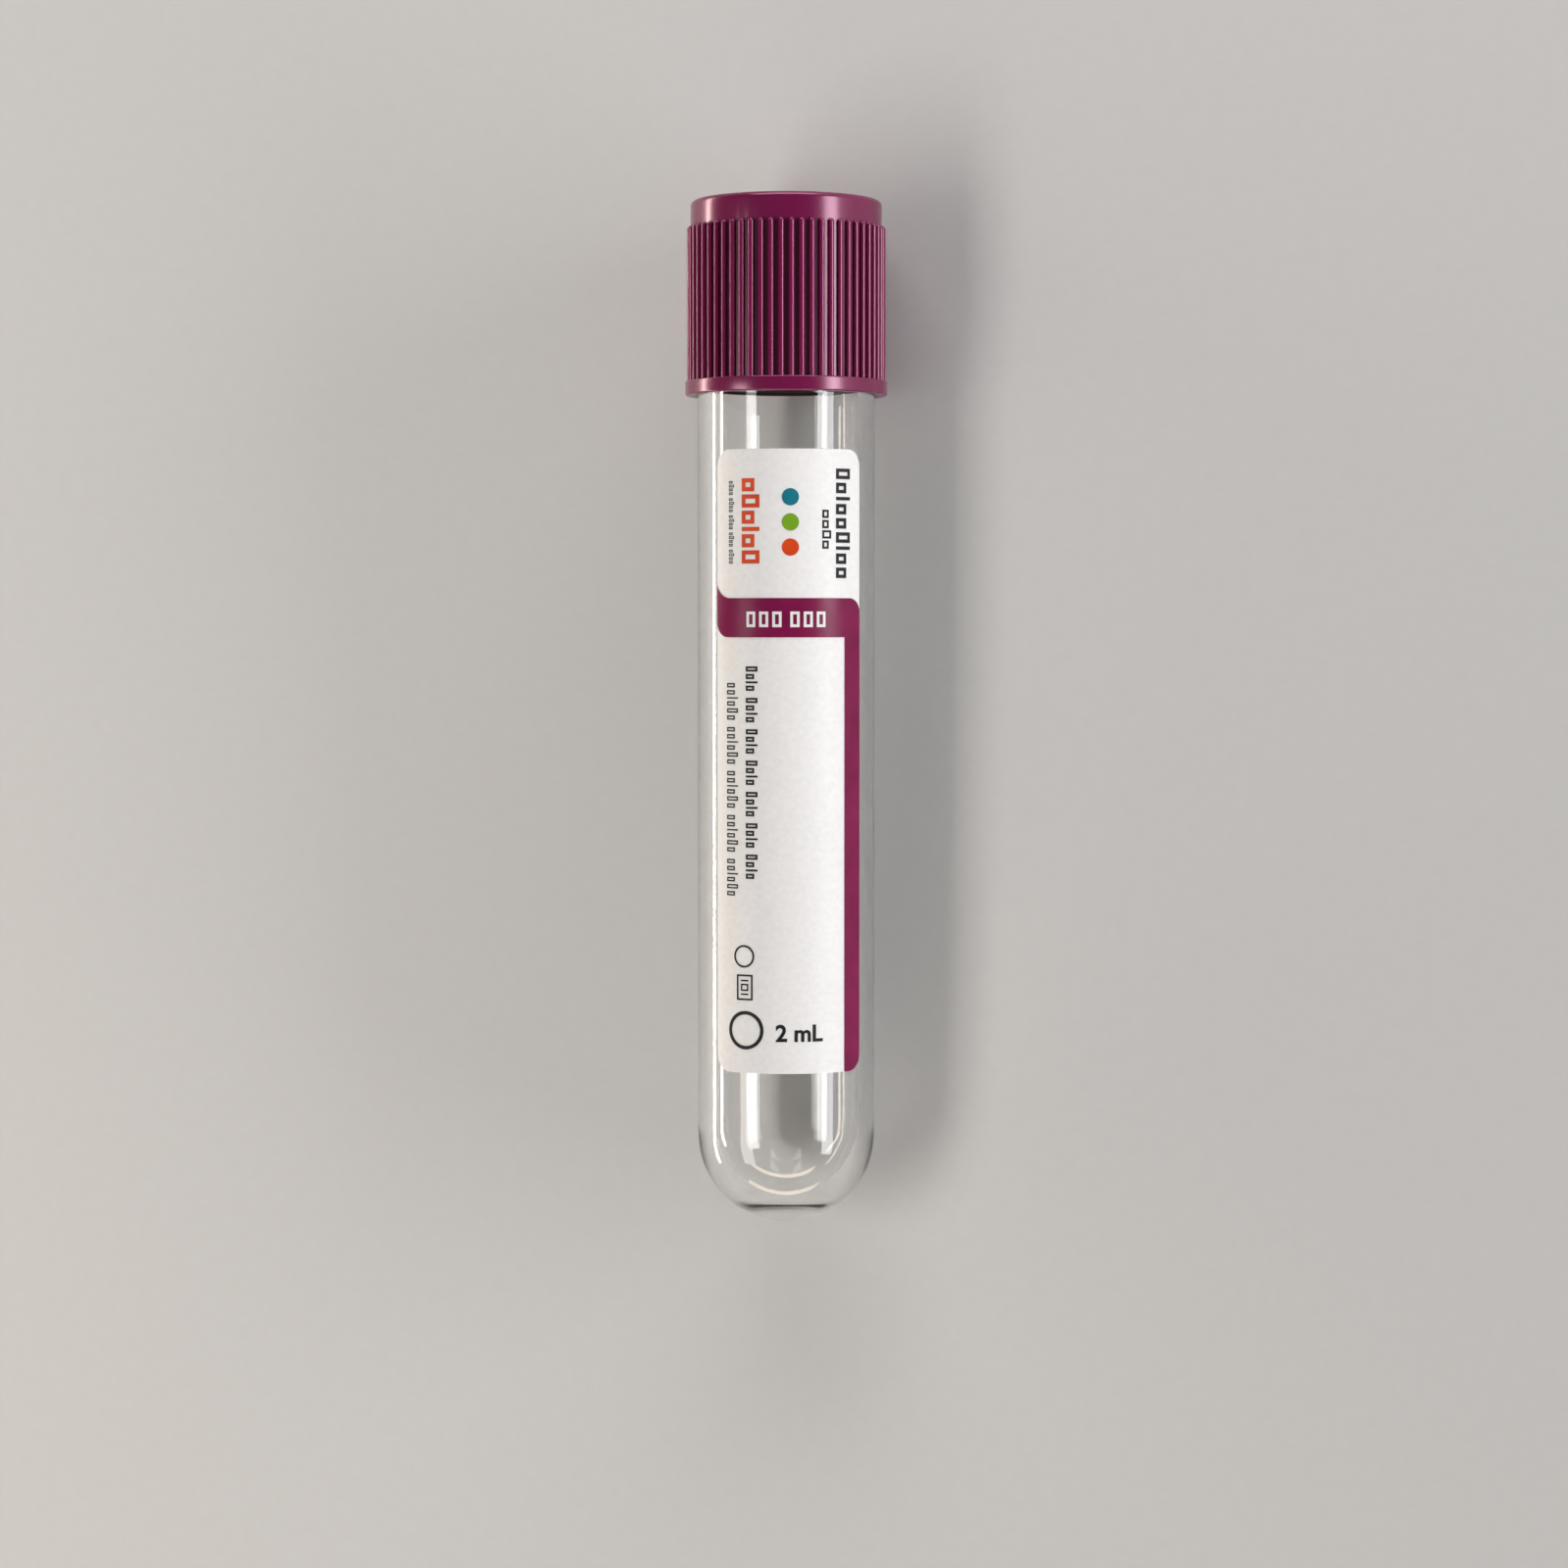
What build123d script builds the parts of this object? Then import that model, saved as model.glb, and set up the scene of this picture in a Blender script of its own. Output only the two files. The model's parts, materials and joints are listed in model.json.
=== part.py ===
from build123d import *

import math
import os

# Blood collection tube: a clear round-bottomed tube, its rubber stopper, the ribbed closure shell
# over both, and a paper label with its printed colour field. Millimetres.
#
# The origin is the tip of the round bottom, +Z runs along the tube towards the closure, and the
# label faces -Y. Capped, it can't stand: it lies on its side, on its round bottom and on the wider
# flange of the closure.

# --- Tube -----------------------------------------------------------------------------------------
tube_length = 71.0          # tip of the round bottom to the rim
tube_r = 6.5                # outside
tube_wall = 1.2             # side wall
floor_thickness = 2.3       # clear material under the middle of the bore
floor_flat_r = 2.4          # small flat where the bore ends
neck_rebate = 0.2           # the neck under the closure is smaller in radius by this
rim_round = 0.25            # fire-polished edges of the rim

# --- Stopper --------------------------------------------------------------------------------------
head_height = 2.6           # the part that sits on the rim
head_round = 0.2            # its outer edges
plug_length = 8.8           # the part inside the bore
plug_wall = 1.9             # around the hollow underside
plug_round = 0.6            # lead-in at the plug's lower edge
well_r = 3.1                # needle well in the top
well_depth = 3.2
well_round = 0.3            # at the foot of the well
diaphragm = 2.8             # rubber that the needle passes through
hollow_round = 1.2          # dome at the top of the hollow underside

# --- Closure shell --------------------------------------------------------------------------------
cap_height = 14.2           # bottom of the flange to the top face
cap_roof = 1.4              # top wall
cap_skirt_wall = 0.58       # side wall between the ribs
cap_top_round = 0.4         # soft edge round the top face
port_r = 3.3                # needle port in the top wall
port_bevel = 0.15           # edge of the port
mouth_chamfer = 0.4         # lead-in at the open end
flange_height = 1.05        # rim round the open end
flange_proud = 0.4          # it stands out this much from the smooth side
flange_top_bevel = 0.1
flange_foot_bevel = 0.15
plain_band = 1.9            # smooth band above the ribs
rib_count = 60
rib_width = 0.42            # at its foot
rib_proud = 0.28            # height of a rib's crest above the smooth side

# --- Label and its colour field -------------------------------------------------------------------
label_thickness = 0.1
label_width = 11.74         # measured round the tube
label_turn = 2.25           # its middle, in degrees to the right of the front
label_below_cap = 4.15      # clear glass between the closure and the label
label_above_dome = 5.15     # clear glass between the label and the round bottom
label_corner_r = 1.2
print_thickness = 0.03
band_below_top = 10.7       # top of the label to the top of the colour band
band_height = 2.82
band_corner_r = 1.1         # lower left and upper right corners of the band
sweep_r = 1.35              # the band's upper edge sweeps up the left edge of the label
sweep_cut = 0.08            # the sweep ends this far short of its own tangent
stripe_width = 1.58         # down the right edge of the label

# --- Fits -----------------------------------------------------------------------------------------
plug_clearance = 0.03       # plug in bore, each side
skirt_clearance = 0.12      # closure shell round the neck, each side
head_clearance = 0.2        # stopper head inside the closure shell, each side
shoulder_cover = 0.05       # the neck begins this far inside the closure's mouth
glue_film = 0.02            # between glass and label
ink_film = 0.01             # between label and its print

# --- Worked out from the above --------------------------------------------------------------------
bore_r = tube_r - tube_wall
neck_r = tube_r - neck_rebate
bore_centre_z = floor_thickness + math.sqrt(bore_r**2 - floor_flat_r**2)

plug_r = bore_r - plug_clearance
plug_bottom_z = tube_length - plug_length
head_top_z = tube_length + head_height
well_floor_z = head_top_z - well_depth
hollow_top_z = well_floor_z - diaphragm
hollow_r = plug_r - plug_wall

cap_inner_r = neck_r + skirt_clearance
cap_r = cap_inner_r + cap_skirt_wall
cap_top_z = head_top_z + cap_roof
cap_bottom_z = cap_top_z - cap_height
flange_top_z = cap_bottom_z + flange_height
flange_r = cap_r + flange_proud
rib_top_z = cap_top_z - plain_band
head_r = cap_inner_r - head_clearance
shoulder_z = cap_bottom_z + shoulder_cover

label_inner_r = tube_r + glue_film
label_outer_r = label_inner_r + label_thickness
label_top_z = cap_bottom_z - label_below_cap
label_bottom_z = tube_r + label_above_dome
label_arc = math.degrees(label_width / label_outer_r)
label_left = label_turn - label_arc / 2
label_right = label_turn + label_arc / 2

print_inner_r = label_outer_r + ink_film
print_outer_r = print_inner_r + print_thickness
band_top_z = label_top_z - band_below_top
band_bottom_z = band_top_z - band_height
stripe_left = label_right - math.degrees(stripe_width / label_outer_r)


def half_section(*edges):
    """A face in the XZ plane from edges drawn as (distance from the axis, height)."""
    return Plane.XZ * make_face(Curve() + edges)


def soften(section, corners):
    """Rounds corners of a half section, each given as (distance from the axis, height, radius)."""
    for r, z, radius in corners:
        nearest = section.vertices().sort_by_distance((r, 0, z))[0]
        section = fillet(nearest, radius)
    return section


def make_tube():
    """A straight tube with a hemispherical bottom, a round bore end and a slightly reduced neck."""
    dome = CenterArc((0, tube_r), tube_r, -90, 90)
    outside = Polyline(
        (tube_r, tube_r),
        (tube_r, shoulder_z),
        (neck_r, shoulder_z + neck_rebate),
        (neck_r, tube_length),
        (bore_r, tube_length),
        (bore_r, bore_centre_z),
    )
    flat_angle = math.degrees(math.acos(floor_flat_r / bore_r))
    bore_end = CenterArc((0, bore_centre_z), bore_r, -flat_angle, flat_angle)
    inside = Polyline((floor_flat_r, floor_thickness), (0, floor_thickness), (0, 0))
    section = half_section(dome, outside, bore_end, inside)
    section = soften(
        section,
        [(neck_r, tube_length, rim_round), (bore_r, tube_length, rim_round)],
    )
    return revolve(section, Axis.Z)


def make_stopper():
    """A turned rubber plug: a head on the rim, a needle well above and a hollow below."""
    outline = Polyline(
        (0, well_floor_z),
        (well_r, well_floor_z),
        (well_r, head_top_z),
        (head_r, head_top_z),
        (head_r, tube_length),
        (plug_r, tube_length),
        (plug_r, plug_bottom_z),
        (hollow_r, plug_bottom_z),
        (hollow_r, hollow_top_z),
        (0, hollow_top_z),
        (0, well_floor_z),
    )
    section = soften(
        half_section(outline),
        [
            (well_r, well_floor_z, well_round),
            (head_r, head_top_z, head_round),
            (head_r, tube_length, head_round),
            (plug_r, plug_bottom_z, plug_round),
            (hollow_r, hollow_top_z, hollow_round),
        ],
    )
    return revolve(section, Axis.Z)


def make_rib():
    """One rib: a round rod sunk into the side, so that only its crest shows."""
    half_width = rib_width / 2
    rod_r = (rib_proud**2 + half_width**2) / (2 * rib_proud)
    rod_foot_z = flange_top_z - flange_height / 2
    rod_height = rib_top_z - rod_foot_z
    rod_x = cap_r + rib_proud - rod_r
    return Pos(rod_x, 0, rod_foot_z + rod_height / 2) * Cylinder(rod_r, rod_height)


def make_cap():
    """The closure shell: a thin skirt with a flange, a ring of ribs and a port in its top wall."""
    outline = Polyline(
        (cap_inner_r + mouth_chamfer, cap_bottom_z),
        (flange_r - flange_foot_bevel, cap_bottom_z),
        (flange_r, cap_bottom_z + flange_foot_bevel),
        (flange_r, flange_top_z - flange_top_bevel),
        (flange_r - flange_top_bevel, flange_top_z),
        (cap_r, flange_top_z),
        (cap_r, cap_top_z),
        (port_r + port_bevel, cap_top_z),
        (port_r, cap_top_z - port_bevel),
        (port_r, head_top_z),
        (cap_inner_r, head_top_z),
        (cap_inner_r, cap_bottom_z + mouth_chamfer),
        (cap_inner_r + mouth_chamfer, cap_bottom_z),
    )
    section = soften(half_section(outline), [(cap_r, cap_top_z, cap_top_round)])
    rib = make_rib()
    pitch = 360 / rib_count
    ribs = [Rot(Z=(number + 0.5) * pitch) * rib for number in range(rib_count)]
    return revolve(section, Axis.Z) + ribs


def wrap(inner_r, outer_r, left, right, bottom_z, top_z):
    """A patch of a thin layer round the tube, from one angle to another, seen from the front."""
    corners = [(inner_r, bottom_z), (outer_r, bottom_z), (outer_r, top_z), (inner_r, top_z)]
    strip = half_section(Polyline(*corners, corners[0]))
    return Rot(Z=left - 90) * revolve(strip, Axis.Z, right - left)


def corner_waste(layer_r, angle, z, radius, to_right, to_top):
    """What a round of this radius leaves of its corner: a small square prism less a round one.

    The rounded edge is tangent to the line at this angle and to the circle at this height.
    """
    inset = math.degrees(math.asin(radius / layer_r))
    centre_angle = angle - inset if to_right else angle + inset
    centre_z = z - radius if to_top else z + radius
    spare = radius / 2
    side = radius + spare
    shift_x = side / 2 if to_right else -side / 2
    shift_z = side / 2 if to_top else -side / 2
    reach = tube_r
    block = Pos(shift_x, -layer_r, shift_z) * Box(side, reach, side)
    round_part = Pos(0, -layer_r, 0) * Rot(X=90) * Cylinder(radius, 2 * reach)
    return Rot(Z=centre_angle) * Pos(0, 0, centre_z) * (block - round_part)


def make_label():
    """A paper label with four rounded corners, wrapped part of the way round the tube."""
    paper = wrap(
        label_inner_r, label_outer_r, label_left, label_right, label_bottom_z, label_top_z
    )
    for angle, to_right in ((label_left, False), (label_right, True)):
        for z, to_top in ((label_bottom_z, False), (label_top_z, True)):
            paper -= corner_waste(label_outer_r, angle, z, label_corner_r, to_right, to_top)
    return paper


def make_label_band():
    """The colour field: a band across the label, swept up its left edge, and a stripe down its right."""

    def field(left, right, bottom_z, top_z):
        return wrap(print_inner_r, print_outer_r, left, right, bottom_z, top_z)

    def waste(angle, z, radius, to_right, to_top):
        return corner_waste(print_outer_r, angle, z, radius, to_right, to_top)

    band = field(label_left, label_right, band_bottom_z, band_top_z)
    stripe = field(stripe_left, label_right, label_bottom_z, band_bottom_z)
    colour = band + stripe
    colour -= waste(label_left, band_bottom_z, band_corner_r, False, False)
    colour -= waste(label_right, band_top_z, band_corner_r, True, True)
    colour -= waste(label_right, label_bottom_z, label_corner_r, True, False)
    sweep_right = label_left + math.degrees(math.asin((sweep_r - sweep_cut) / print_outer_r))
    sweep = field(label_left, sweep_right, band_top_z, band_top_z + sweep_r)
    hollow = Pos(0, -print_outer_r, 0) * Rot(X=90) * Cylinder(sweep_r, 2 * tube_r)
    sweep -= Rot(Z=sweep_right) * Pos(0, 0, band_top_z + sweep_r) * hollow
    return colour + sweep


pieces = {
    "tube": make_tube(),
    "stopper": make_stopper(),
    "cap": make_cap(),
    "label": make_label(),
    "label_band": make_label_band(),
}

os.makedirs("parts", exist_ok=True)
for name, piece in pieces.items():
    piece.label = name
    export_step(piece, f"parts/{name}.step")

print("whole length", cap_top_z)
print("label", round(label_top_z - label_bottom_z, 3), "high", round(label_arc, 2), "degrees wide")
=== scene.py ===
# %% [markdown]
# # A blood collection tube, dressed in Blender
# The object is a small clear tube with a round bottom. A ribbed closure shell covers its mouth and
# carries a rubber stopper, and a paper label with a colour field is wrapped round its front. The
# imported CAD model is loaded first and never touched: it fixes where everything goes, and each
# finer piece made below stands in for one of its solids.

import json
import math

import bmesh
import bpy
import numpy as np
from mathutils import Matrix, Vector


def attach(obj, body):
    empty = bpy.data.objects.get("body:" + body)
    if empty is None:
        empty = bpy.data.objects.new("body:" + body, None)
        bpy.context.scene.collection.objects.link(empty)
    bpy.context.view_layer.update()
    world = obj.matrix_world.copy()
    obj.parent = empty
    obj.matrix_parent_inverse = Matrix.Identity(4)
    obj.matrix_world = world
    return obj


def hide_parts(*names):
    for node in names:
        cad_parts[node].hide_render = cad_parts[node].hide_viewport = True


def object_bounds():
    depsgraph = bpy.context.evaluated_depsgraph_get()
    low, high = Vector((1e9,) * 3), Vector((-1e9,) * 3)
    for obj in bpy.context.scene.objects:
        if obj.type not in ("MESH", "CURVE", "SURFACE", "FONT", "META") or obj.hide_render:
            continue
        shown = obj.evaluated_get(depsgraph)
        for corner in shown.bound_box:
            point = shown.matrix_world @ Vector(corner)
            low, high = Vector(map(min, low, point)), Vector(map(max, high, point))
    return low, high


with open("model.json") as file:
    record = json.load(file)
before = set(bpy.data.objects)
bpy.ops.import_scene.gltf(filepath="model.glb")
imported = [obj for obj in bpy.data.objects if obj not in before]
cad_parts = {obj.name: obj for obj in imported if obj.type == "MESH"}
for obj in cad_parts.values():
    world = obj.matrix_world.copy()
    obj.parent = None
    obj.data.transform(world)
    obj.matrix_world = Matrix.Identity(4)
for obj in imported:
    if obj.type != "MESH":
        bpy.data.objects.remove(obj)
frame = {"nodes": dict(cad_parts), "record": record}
cad_low, cad_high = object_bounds()
print("CAD box in mm", [round(v * 1000, 2) for v in (*cad_low, *cad_high)])

# %% [markdown]
# ## The tube's own directions
# The tube lies on its side and rises a little towards the closure, so nothing lines up with X, Y
# and Z. It is much easier to think in the tube's own directions: along it from the tip of the round
# bottom, round it from the middle of its front, and out from its axis. The record's mounts hold all
# three: the port in the closure looks along the axis, the flat of the closure's top is measured in
# line with the front, and the tube's body says how far off its middle is.

# %% Directions and placing
mm = 0.001
mounts = {mount["name"]: mount for mount in frame["record"]["mounts"]}
body_mount, port_mount, top_mount = (mounts[name] for name in ("tube_body", "needle_port", "cap_top"))


def unit(vector):
    """The vector divided by its length."""
    return vector / np.linalg.norm(vector)


along = unit(np.array(port_mount["axis"]))
to_top_flat = np.array(top_mount["pos_m"]) - np.array(port_mount["pos_m"])
front = unit(to_top_flat - (to_top_flat @ along) * along)
right = np.cross(along, front)
tube_r = body_mount["dims"]["r_mm"]
body_middle = tube_r + body_mount["dims"]["length_mm"] / 2
tip = np.array(body_mount["pos_m"]) - body_middle * mm * along


def around(angle, radius, height):
    """Places round the tube, in metres, from an angle, a radius and a height in millimetres.

    tip + height * along + radius * (sin(angle) * right + cos(angle) * front)
    """
    angle, radius, height = np.broadcast_arrays(angle, radius, height)
    outwards = np.sin(angle)[..., None] * right + np.cos(angle)[..., None] * front
    return tip + mm * (height[..., None] * along + radius[..., None] * outwards)


def measured(node):
    """Angle, radius and height of every corner of a CAD solid: the inverse of around."""
    mesh = frame["nodes"][node].data
    flat = np.empty(len(mesh.vertices) * 3, np.float32)
    mesh.vertices.foreach_get("co", flat)
    offset = (flat.reshape(-1, 3) - tip) / mm
    sideways, forwards = offset @ right, offset @ front
    return np.arctan2(sideways, forwards), np.hypot(sideways, forwards), offset @ along


for node in sorted(frame["nodes"]):
    angle, radius, height = measured(node)
    print(f"{node}: {height.min():.2f} to {height.max():.2f} mm up, {radius.max():.2f} mm out")

# %% [markdown]
# ## From arrays to meshes
# Most pieces here are turned on a lathe or moulded round an axis, so each is a grid: one parameter
# goes round the tube and the other runs along an outline. numpy works out the whole grid at once,
# and square faces join its neighbours. Where an outline starts or ends on the axis, all the grid's
# points there fall together and are merged into one pole.


# %% Grids and outlines
def grid_faces(rows, columns, round_rows=False, round_columns=False):
    """Square faces between the neighbours of a grid that is numbered row by row."""
    row = np.arange(rows if round_rows else rows - 1)[:, None]
    column = np.arange(columns if round_columns else columns - 1)[None, :]
    next_row, next_column = (row + 1) % rows, (column + 1) % columns
    square = [(row, column), (next_row, column), (next_row, next_column), (row, next_column)]
    corners = np.broadcast_arrays(*[r * columns + c for r, c in square])
    return np.stack(corners, axis=-1).reshape(-1, 4)


def rounded(corners, steps=6):
    """An outline through corners given as (distance from the axis, height, radius of its round).

    A round starts radius * tan(turn / 2) before its corner and is tangent to both sides. Its points
    turn evenly from one tangent point to the other about its centre.
    """
    places = np.array(corners, float)
    points = [places[0, :2]]
    for before, (x, z, radius), after in zip(places[:-2, :2], places[1:-1], places[2:, :2]):
        corner = np.array([x, z])
        if radius == 0:
            points.append(corner)
            continue
        back, ahead = unit(before - corner), unit(after - corner)
        turn = math.pi - math.acos(np.clip(back @ ahead, -1, 1))
        centre = corner + unit(back + ahead) * radius / math.cos(turn / 2)
        first = corner + back * radius * math.tan(turn / 2) - centre
        last = corner + ahead * radius * math.tan(turn / 2) - centre
        share = np.linspace(0, 1, steps + 1)[:, None]
        arc = np.sin((1 - share) * turn) * first + np.sin(share * turn) * last
        points.extend(centre + arc / math.sin(turn))
    points.append(places[-1, :2])
    return np.array(points)


# %% [markdown]
# A piece is a mesh with a finish. It rides on a body, and the solid it stands in for is hidden. Most
# edges are left smooth, and only those that turn by more than the crease angle stay sharp.

# %% Pieces
merge_within = 1e-7  # metres: corners nearer than this are one


def add_piece(name, points, faces, finish, slot, body, node=None, crease_deg=32):
    """A closed mesh from places and faces, smooth up to the crease angle, riding on a body."""
    mesh = bpy.data.meshes.new(name)
    mesh.from_pydata(np.reshape(points, (-1, 3)), [], [list(face) for face in faces])
    shape = bmesh.new()
    shape.from_mesh(mesh)
    bmesh.ops.remove_doubles(shape, verts=shape.verts, dist=merge_within)
    shape.to_mesh(mesh)
    shape.free()
    mesh.shade_smooth()
    mesh.set_sharp_from_angle(angle=math.radians(crease_deg))
    mesh.materials.append(finish)
    piece = bpy.data.objects.new(name, mesh)
    bpy.context.scene.collection.objects.link(piece)
    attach(piece, body)
    if node:
        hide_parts(node)
    print(name, "has", sum(len(face.vertices) - 2 for face in mesh.polygons), "triangles")
    return piece


def turned(outline, columns=192):
    """Places and faces of an outline of (radius, height) turned once round the axis."""
    angle = np.linspace(0, 2 * math.pi, columns, endpoint=False)[:, None]
    points = around(angle, outline[:, 0], outline[:, 1])
    return points, grid_faces(columns, len(outline), round_rows=True)


# %% [markdown]
# ## Finishes
# A finish is a Principled shader with a little disorder in it. Moulded plastic is never the same
# gloss all over, paper has fibres, rubber is dusty, and glass is drawn with faint streaks. The
# disorder comes from noise on Object coordinates, in metres, so a scale of 1000 gives grains about a
# millimetre across. Noise gathers round 0.5, so the helpers stretch its middle, from 0.3 to 0.7, over
# the whole of what they send. Whatever is the same all over is set on the shader's own socket.


# %% Helpers for finishes
noise_low, noise_high = 0.3, 0.7


def new_finish(name):
    """A material with its node tree, its Principled shader and its Object coordinates."""
    material = bpy.data.materials.new(name)
    material.use_nodes = True
    nodes = material.node_tree.nodes
    shader = nodes["Principled BSDF"]
    place = nodes.new("ShaderNodeTexCoord").outputs["Object"]
    return material, material.node_tree, shader, place


def noise(tree, place, scale, detail=3.0, stretch=None):
    """Noise of about 1 / scale metres, from 0 to 1. stretch scales the pattern along X, Y and Z."""
    if stretch:
        mapping = tree.nodes.new("ShaderNodeMapping")
        mapping.inputs["Scale"].default_value = stretch
        tree.links.new(place, mapping.inputs["Vector"])
        place = mapping.outputs["Vector"]
    texture = tree.nodes.new("ShaderNodeTexNoise")
    texture.inputs["Scale"].default_value = scale
    texture.inputs["Detail"].default_value = detail
    tree.links.new(place, texture.inputs["Vector"])
    return texture.outputs["Fac"]


def spread(tree, value, low, high, socket):
    """Sends noise to a socket: noise_low arrives as low and noise_high as high."""
    remap = tree.nodes.new("ShaderNodeMapRange")
    remap.inputs["From Min"].default_value = noise_low
    remap.inputs["From Max"].default_value = noise_high
    remap.inputs["To Min"].default_value = low
    remap.inputs["To Max"].default_value = high
    tree.links.new(value, remap.inputs["Value"])
    tree.links.new(remap.outputs["Result"], socket)


def tint(tree, value, first, second, socket):
    """Sends a colour to a socket, which goes from first at noise_low to second at noise_high."""
    ramp = tree.nodes.new("ShaderNodeValToRGB")
    ramp.color_ramp.elements[0].position = noise_low
    ramp.color_ramp.elements[0].color = (*first, 1)
    ramp.color_ramp.elements[1].position = noise_high
    ramp.color_ramp.elements[1].color = (*second, 1)
    tree.links.new(value, ramp.inputs["Fac"])
    tree.links.new(ramp.outputs["Color"], socket)


def bump(tree, value, depth_mm, shader, strength=1.0):
    """Lets a value press the surface in and out by a depth in millimetres."""
    node = tree.nodes.new("ShaderNodeBump")
    node.inputs["Strength"].default_value = strength
    node.inputs["Distance"].default_value = depth_mm * mm
    tree.links.new(value, node.inputs["Height"])
    tree.links.new(node.outputs["Normal"], shader.inputs["Normal"])


# %% [markdown]
# The tube is clear: light bends into its wall and out again, and that alone draws the bright and
# dark lines along its sides. They could be painted on, but then they would stay put while the camera
# moves. The gloss is broken only by faint streaks along the draw.


# %% Clear glass
def clear_glass():
    """Clear glass, whose gloss is broken by faint streaks along the tube."""
    material, tree, shader, place = new_finish("clear_glass")
    shader.inputs["Base Color"].default_value = (0.985, 0.99, 0.99, 1)
    shader.inputs["Transmission Weight"].default_value = 1.0
    shader.inputs["IOR"].default_value = 1.5
    streaks = noise(tree, place, 900, stretch=(1, 0.05, 1))
    spread(tree, streaks, 0.0, 0.02, shader.inputs["Roughness"])
    return material


# %% [markdown]
# The closure is moulded in a glossy purple plastic. Fingers polish the crests of its ribs, while the
# plain band and the flange keep the softer gloss of the mould. Its base colour is painted darker in
# the grooves between the ribs, as painted shade, and a little lighter on the rib crests, as a painted
# highlight. The shell's mesh carries the crest and groove masks as attributes. Noise adds soft
# patches, and a very fine texture keeps the highlights from looking like chrome.


# %% Closure plastic
def from_mesh(tree, name):
    """The value of a mesh's own attribute, from 0 to 1."""
    attribute = tree.nodes.new("ShaderNodeAttribute")
    attribute.attribute_name = name
    return attribute.outputs["Fac"]


def painted_light_mix(tree, socket, share, colour):
    """Mixes what reaches a colour socket with a colour: (1 - share) * before + share * colour."""
    mix = tree.nodes.new("ShaderNodeMix")
    mix.data_type = "RGBA"
    # a Mix node has sockets for numbers, vectors and colours: inputs 6 and 7 and output 2 are colours
    tree.links.new(share, mix.inputs["Factor"])
    tree.links.new(socket.links[0].from_socket, mix.inputs[6])
    mix.inputs[7].default_value = (*colour, 1)
    tree.links.new(mix.outputs[2], socket)


def closure_plastic():
    """Glossy purple plastic, with highlights of its own colour, that shines most on its crests. Its
    colour is painted lighter on the crests and painted darker, as shade, in the grooves.

    roughness = 0.22 - 0.12 * crest + noise from -0.02 to 0.03
    """
    material, tree, shader, place = new_finish("closure_plastic")
    patches = noise(tree, place, 180)
    tint(tree, patches, (0.14, 0.0034, 0.048), (0.165, 0.0046, 0.058), shader.inputs["Base Color"])
    # painted highlight: the base colour turns lighter up the rib crests
    painted_light_mix(tree, shader.inputs["Base Color"], from_mesh(tree, "crest"), (0.19, 0.0055, 0.066))
    # painted shade: the base colour turns dark in the grooves between the ribs
    painted_light_mix(tree, shader.inputs["Base Color"], from_mesh(tree, "groove"), (0.045, 0.0012, 0.015))
    shader.inputs["Specular IOR Level"].default_value = 1.0
    shader.inputs["Specular Tint"].default_value = (1.0, 0.64, 0.8, 1)
    polish = tree.nodes.new("ShaderNodeMath")
    polish.operation = "MULTIPLY_ADD"
    polish.inputs[1].default_value = -0.12
    polish.inputs[2].default_value = 0.22
    tree.links.new(from_mesh(tree, "crest"), polish.inputs[0])
    roughness = tree.nodes.new("ShaderNodeMath")
    tree.links.new(polish.outputs[0], roughness.inputs[0])
    spread(tree, noise(tree, place, 420), -0.02, 0.03, roughness.inputs[1])
    tree.links.new(roughness.outputs[0], shader.inputs["Roughness"])
    bump(tree, noise(tree, place, 3000, detail=2), 0.001, shader, 0.15)
    return material


# %% [markdown]
# The stopper is soft dark rubber, dull and slightly uneven. The label is coated paper: nearly
# white, satin, with fibres that show as the faintest relief. Ink lies on it as a thin satin film,
# a little darker where it went on thicker.


# %% Rubber, paper and ink
def stopper_rubber():
    """Dull dark rubber with a fine grain."""
    material, tree, shader, place = new_finish("stopper_rubber")
    tint(tree, noise(tree, place, 500), (0.2, 0.19, 0.18), (0.28, 0.27, 0.255),
         shader.inputs["Base Color"])
    spread(tree, noise(tree, place, 2500), 0.6, 0.8, shader.inputs["Roughness"])
    bump(tree, noise(tree, place, 4000), 0.01, shader)
    return material


def label_paper():
    """Nearly white satin paper: the same noise gives its fibres their colour and their relief."""
    material, tree, shader, place = new_finish("label_paper")
    fibres = noise(tree, place, 2600, detail=5)
    tint(tree, fibres, (0.82, 0.815, 0.81), (0.88, 0.875, 0.87), shader.inputs["Base Color"])
    spread(tree, noise(tree, place, 700), 0.42, 0.55, shader.inputs["Roughness"])
    bump(tree, fibres, 0.006, shader)
    return material


def ink(name, thin, thick, roughness=0.4):
    """Satin ink in a colour that deepens where it went on thicker."""
    material, tree, shader, place = new_finish(name)
    shader.inputs["Specular IOR Level"].default_value = 0.2
    tint(tree, noise(tree, place, 500, detail=2), thick, thin, shader.inputs["Base Color"])
    gloss = noise(tree, place, 400, detail=0)
    spread(tree, gloss, roughness - 0.02, roughness + 0.03, shader.inputs["Roughness"])
    bump(tree, noise(tree, place, 1800, detail=2), 0.001, shader)
    return material


# %% [markdown]
# ## The tube
# Such a tube is drawn from a straight length: its bottom is closed to a half sphere and its rim is
# fire-polished. It could be joined from a cylinder and a ball, but the joint would show in the
# glass. So one outline runs from the tip up the outside, over the rim and down the bore to the small
# flat where the bore ends, and is turned round the axis. Outside and bore are one closed surface,
# because glass looks right only when light meets both sides of the wall.

# %% Make the tube
tube_wall = 1.2
floor_thickness = 2.3
floor_flat_r = 2.4
neck_rebate = 0.2
rim_round = 0.25
floor_round = 2.0

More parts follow.
